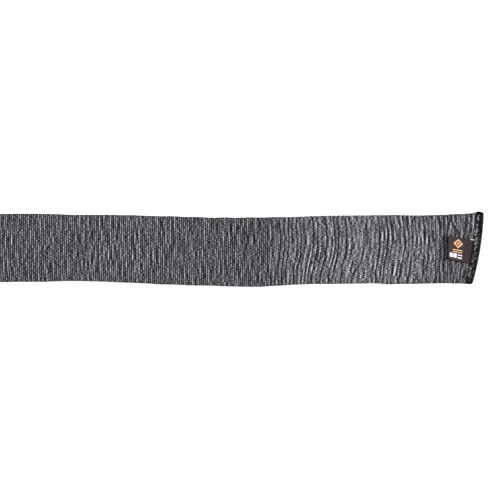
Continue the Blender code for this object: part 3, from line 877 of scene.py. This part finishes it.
def plait(path):
    """Three strands plaited along path, as a serger's chain looks when it runs off the cloth."""
    path = curved(path, 60)
    steps = np.gradient(path, axis=0)
    tangents = steps / np.linalg.norm(steps, axis=1)[:, None]
    side = np.cross(tangents, (0.0, 0.0, 1.0))
    side /= np.linalg.norm(side, axis=1)[:, None]
    rise = np.cross(side, tangents)
    share = np.linspace(0, 1, len(path))
    parts = []
    for strand in range(3):
        phase = 2 * pi * (share * PLAIT_TURNS + strand / 3)
        across = side * (PLAIT_HALF_WIDTH * np.sin(phase))[:, None]
        up = rise * (PLAIT_HALF_HEIGHT * np.sin(2 * phase))[:, None]
        parts.append(tube_part(path + across + up, PLAIT_RADIUS))
    return parts


def make_chain_tails(made):
    """The two tails; their paths are (y, inset from the toe's edge, z)."""
    top_side, low_side = TOE_CENTRE_Y + TOE_HALF_WIDTH, TOE_CENTRE_Y - TOE_HALF_WIDTH
    upper_path = [
        (top_side - 0.0018, 0.0014, TOE_MIDDLE_Z),
        (top_side + 0.0000, 0.0020, TOE_MIDDLE_Z + 0.0006),
        (top_side + 0.0007, 0.0044, TOE_MIDDLE_Z + 0.0008),
        (top_side + 0.0012, 0.0074, TOE_MIDDLE_Z + 0.0006),
        (top_side + 0.0003, 0.0110, TOE_MIDDLE_Z + 0.0002),
    ]
    lower_path = [
        (low_side + 0.0018, 0.0014, TOE_MIDDLE_Z),
        (low_side - 0.0004, 0.0024, TOE_MIDDLE_Z + 0.0006),
        (low_side - 0.0014, 0.0050, TOE_MIDDLE_Z + 0.0006),
        (low_side - 0.0013, 0.0090, TOE_MIDDLE_Z + 0.0004),
        (low_side - 0.0008, 0.0120, TOE_MIDDLE_Z),
    ]
    for node, path in (("toe_chain_tail_upper", upper_path), ("toe_chain_tail_lower", lower_path)):
        strands = plait([toe_point(*place, edge=toe_line_x) for place in path])
        serging_piece(node, strands, made, ending="_plait")


# ---------------------------------------------------------------- mouth


def mouth_point(share, distance, depth):
    """A point at a share of the way round, at distance from the mouth and at depth under the knit."""
    ring = tube_surface(np.array([-HALF_LENGTH + distance]), depth)[0]
    reached = np.append(WAY_ROUND, GIRTH) / GIRTH
    closed = np.vstack([ring, ring[:1]])
    return np.array([np.interp(share % 1.0, reached, closed[:, axis]) for axis in range(3)])


def make_mouth_edge(made):
    """Serging round the open mouth: loopers outside and inside, and a needle line."""
    where = np.linspace(0, 1, 2 * int(GIRTH / STITCH / 2) + 1)
    outside, inside, needle = [], [], []
    r = MOUTH_THREAD_RADIUS
    fold = MOUTH_WALL / 2
    for s0, s1 in zip(where, where[1:]):
        mid = (s0 + s1) / 2
        over = [
            (s0, 0.0080, 0.0001),
            (s0 * 0.7 + mid * 0.3, 0.0060, -r),
            (mid, 0.0022, -r * 0.9),
            (mid, 0.0007, 0.0002),
            (mid, 0.0005, fold),
        ]
        over_back = [
            (mid, 0.0005, fold),
            (mid, 0.0008, 0.0),
            (mid * 0.6 + s1 * 0.4, 0.0030, -r * 1.6),
            (mid * 0.2 + s1 * 0.8, 0.0062, -r * 1.5),
            (s1, 0.0079, -0.0001),
        ]
        under = [
            (s0, 0.0078, MOUTH_WALL),
            (mid, 0.0030, MOUTH_WALL + r),
            (mid, 0.0008, MOUTH_WALL - 0.0002),
            (mid, 0.0005, fold + 0.0002),
        ]
        under_back = [
            (mid, 0.0005, fold + 0.0002),
            (mid, 0.0012, MOUTH_WALL),
            (s1, 0.0076, MOUTH_WALL + r * 0.8),
        ]
        dash = [
            (s0 + 0.0008, MOUTH_BAND, 0.0003),
            (s0 * 0.8 + s1 * 0.2, MOUTH_BAND, -0.0002),
            (mid, MOUTH_BAND, -0.0004),
            (s0 * 0.2 + s1 * 0.8, MOUTH_BAND, -0.0002),
            (s1 - 0.0008, MOUTH_BAND, 0.0003),
        ]
        outside.append(thread_through(mouth_point, over, 16, r))
        outside.append(thread_through(mouth_point, over_back, 14, r * BACK_SHARE))
        inside.append(thread_through(mouth_point, under, 12, r))
        inside.append(thread_through(mouth_point, under_back, 10, r * BACK_SHARE))
        needle.append(thread_through(mouth_point, dash, 10, MOUTH_NEEDLE_RADIUS))
    serging_piece("mouth_outer_looper_thread", outside, made)
    serging_piece("mouth_inner_looper_thread", inside, made)
    serging_piece("mouth_needle_thread", needle, made)


# ---------------------------------------------------------------- label

# The hinge line is where the flap leaves the seam
joint = frame["joints"][0]
HINGE = Vector(joint["pos_m"])
HINGE_LINE = Vector(joint["axis"]).normalized()
OUTWARD = Vector((-HINGE_LINE.y, HINGE_LINE.x, 0.0))
LABEL_TILT = radians(7.0)
LABEL_REACH = 0.0334  # from the hinge line to the fold
LEG_REACH = -0.0112  # from the hinge line to the cut ends in the seam
FOLD_SLANT = 0.17  # the fold isn't square to the ribbon
LABEL_SKEW = 0.010
LABEL_SHIFT = 0.0009
LABEL_ROWS, LABEL_COLUMNS = 40, 24  # mesh steps along each ply, and across
FOLD_STEPS = 9
RIBBON = 0.00028  # one ply
SEAM_SHADE_PLACE = 2 * (LABEL_REACH - LEG_REACH) + LEG_REACH + 0.0024  # along the ribbon, on its upper ply, where painted shade marks the ribbon going in under the seam's threads
SELVAGE_PLACE = SEAM_SHADE_PLACE - 0.0012

# The label's plain figures, in metres from the hinge line (reach) and from its middle (side)
FLOAT_PITCH = 0.00040
LOZENGE_REACH, LOZENGE_SIDE, LOZENGE_SIZE = 0.0190, 0.0081, 0.0069
BAND_LINES = (  # each (reach from, reach to, side from, side to)
    (0.0120, 0.0264, -0.0021, -0.0005),
    (0.0120, 0.0264, -0.0048, -0.0033),
)
BLOCKS_AND_BARS = (
    (0.0202, 0.0249, -0.0126, -0.0062),
    (0.0262, 0.0308, -0.0126, -0.0062),
    (0.0115, 0.0185, -0.0090, -0.0072),
    (0.0115, 0.0185, -0.0128, -0.0110),
)


def ply_gap(reach):
    """Half the space between the ribbon's two plies."""
    return 0.00017 + 0.00055 * float(smooth(reach / 0.032))


def label_point(reach, side, lift):
    """A point of the label.

    reach is from the hinge line towards the fold, side is along the seam and lift is off the middle
    between the two plies.
    """
    out = max(reach, 0.0)
    share = out / LABEL_REACH
    out = out * (1 + FOLD_SLANT * side / LABEL_REACH)
    side = side * (1.015 - 0.070 * share) - LABEL_SKEW * out + LABEL_SHIFT
    # The tilt, the fold's spring, a little twist and the ribbon's small waves
    height = np.sin(LABEL_TILT) * out + 0.0024 * share**3 - 0.0006 * sin(pi * min(share, 1.0))
    height += 0.0008 * share * (-side / 0.017) + 0.0002 * share * sin(side * 420)
    height += 0.00022 * sin(out * 2 * pi / 0.015 + side * 60) * min(share * 4, 1.0)
    flat = HINGE + OUTWARD * (out * cos(LABEL_TILT) if reach > 0 else reach) + HINGE_LINE * side
    return flat + Vector((0.0, 0.0, height + lift))


def ribbon_path():
    """The ribbon's middle line as (reach, lift), from its lower cut end to its upper one."""
    turn_start = LABEL_REACH - 0.0008
    lower = [(reach, -ply_gap(reach)) for reach in np.linspace(LEG_REACH, turn_start, LABEL_ROWS)]
    fold_half = ply_gap(LABEL_REACH)
    turn = [
        (turn_start + fold_half * 1.15 * sin(angle), -fold_half * cos(angle))
        for angle in np.linspace(0.2, pi - 0.2, FOLD_STEPS)
    ]
    upper = [(reach, -lift) for reach, lift in lower[::-1]]
    return lower + turn + upper


def sheet_faces(rows, columns):
    """Faces of a closed sheet: two skins, each a grid of points, and the rim between them."""
    second = rows * columns
    faces = []

    def rim(a, b, flip):
        face = (a, b, second + b, second + a)
        faces.append(face[::-1] if flip else face)

    for i in range(rows - 1):
        for a in range(i * columns, (i + 1) * columns - 1):
            d = a + columns
            faces.append((a, a + 1, d + 1, d))
            faces.append((second + d, second + d + 1, second + a + 1, second + a))
    for first in range(0, second - columns, columns):
        last = first + columns - 1
        rim(first, first + columns, False)
        rim(last, last + columns, True)
    for first in range(columns - 1):
        last = second - columns + first
        rim(first, first + 1, True)
        rim(last, last + 1, False)
    return faces


def make_label(made):
    path = ribbon_path()
    half = LABEL_WIDTH / 2
    sides = np.linspace(-half, half, LABEL_COLUMNS + 1)
    centres = np.array(path)
    steps = np.gradient(centres, axis=0)
    normals = np.stack([-steps[:, 1], steps[:, 0]], axis=-1)
    normals /= np.linalg.norm(normals, axis=1)[:, None]
    reached = np.concatenate([[0.0], np.cumsum(np.hypot(*np.diff(centres, axis=0).T))])
    points, uv_points = [], []
    for skin in (1, -1):
        for i, (reach, lift) in enumerate(path):
            offset = normals[i] * RIBBON / 2 * skin
            for side in sides:
                points.append(label_point(reach + offset[0], side, lift + offset[1]))
                uv_points.append((reached[i], side + half))
    piece = mesh_piece("label_ribbon", points, sheet_faces(len(path), len(sides)), made)
    point_uv(piece.data, "weave", uv_points)
    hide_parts("label_sewn_leg", "label_flap")
    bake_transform(piece)


def in_lozenge(reach, side):
    size = (abs(reach - LOZENGE_REACH) + abs(side - LOZENGE_SIDE)) / LOZENGE_SIZE
    return size < 1.0 and not 0.34 < size < 0.56


def in_rectangles(rectangles):
    def inside(reach, side):
        return any(low < reach < high and left < side < right for low, high, left, right in rectangles)

    return inside


def float_runs(inside, reach):
    """The stretches across the label, at reach from the hinge line, that a figure fills."""
    runs = [[]]
    for side in np.linspace(-0.0165, 0.0165, 133):
        if inside(reach, side):
            runs[-1].append(side)
        elif runs[-1]:
            runs.append([])
    return [run for run in runs if len(run) >= 3]


def float_part(reach, run):
    """One weft float, whose ends go down into the ribbon."""
    ply_top = ply_gap(reach) + RIBBON / 2
    sides = np.linspace(run[0], run[-1], max(4, len(run) // 3))
    lifts = np.full(len(sides), 0.00006)
    lifts[[0, -1]] = -0.00004
    path = [tuple(label_point(reach, side, ply_top + lift)) for side, lift in zip(sides, lifts)]
    return tube_part(path, FLOAT_PITCH * 0.56, sides=6, flatten=0.62)


def make_motif(materials):
    """Raised weft floats on the label's face, which fill three plain figures."""
    reaches = np.arange(0.0108, 0.0320, FLOAT_PITCH)
    for name, node, slot, inside in (
        ("label_lozenge_floats", "label_tan_lozenge_weft", "tan_weft", in_lozenge),
        ("label_band_floats", "label_tan_band_weft", "tan_weft", in_rectangles(BAND_LINES)),
        ("label_comb_floats", "label_white_comb_weft", "white_weft", in_rectangles(BLOCKS_AND_BARS)),
    ):
        parts = [float_part(reach, run) for reach in reaches for run in float_runs(inside, reach)]
        piece = thread_piece(name, parts, materials[slot])
        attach(piece, "label")
        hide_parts(node)


# ---------------------------------------------------------------- room

KEY_ENERGY, KEY_HEIGHT = 5.3, radians(33)
VIEW_WIDTH, VIEW_CENTRE, VIEW_HEIGHT = 0.7035, (0.3306, -0.0007), 0.008


def make_room():
    bpy.ops.mesh.primitive_plane_add(size=30, location=(0, 0, -0.0002))
    floor = bpy.context.object
    floor.name = "floor"
    s = Shader("floor_paper")
    s.set(Base_Color=(0.93, 0.93, 0.93, 1), Roughness=0.9, Specular_IOR_Level=0.1)
    floor.data.materials.append(s.material)

    world = bpy.data.worlds.new("studio")
    bpy.context.scene.world = world
    world.use_nodes = True
    background = world.node_tree.nodes["Background"]
    background.inputs["Color"].default_value = (1.0, 1.0, 1.0, 1)
    background.inputs["Strength"].default_value = 1.0

    key = bpy.data.lights.new("key", "SUN")
    key.energy, key.angle = KEY_ENERGY, radians(16)
    lamp = bpy.data.objects.new("key", key)
    towards = Vector((-cos(KEY_HEIGHT), -0.09, -sin(KEY_HEIGHT)))
    lamp.rotation_euler = towards.to_track_quat("-Z", "Y").to_euler()
    bpy.context.scene.collection.objects.link(lamp)

    camera_data = bpy.data.cameras.new("camera")
    camera_data.lens, camera_data.sensor_width = 100, 36
    camera = bpy.data.objects.new("camera", camera_data)
    bpy.context.scene.collection.objects.link(camera)
    distance = VIEW_WIDTH * camera_data.lens / camera_data.sensor_width
    camera.location = (*VIEW_CENTRE, VIEW_HEIGHT + distance)
    camera.rotation_euler = (0.0, 0.0, 0.0)
    bpy.context.scene.camera = camera
    bpy.context.scene.view_settings.view_transform = "Standard"


make_room()
knit = knit_material()
black = thread_material("black_thread", (0.0012, 0.0014, 0.0013), (0.0095, 0.0105, 0.0095))
ribbon = ribbon_material()
wefts = {
    "tan_weft": weft_material("tan_weft", (0.48, 0.26, 0.13), (0.72, 0.45, 0.26)),
    "white_weft": weft_material("white_weft", (0.52, 0.49, 0.55), (0.72, 0.69, 0.73)),
}
make_sleeve(knit)
make_toe_seam(black)
make_chain_tails(black)
make_mouth_edge(black)
make_label(ribbon)
make_motif(wefts)
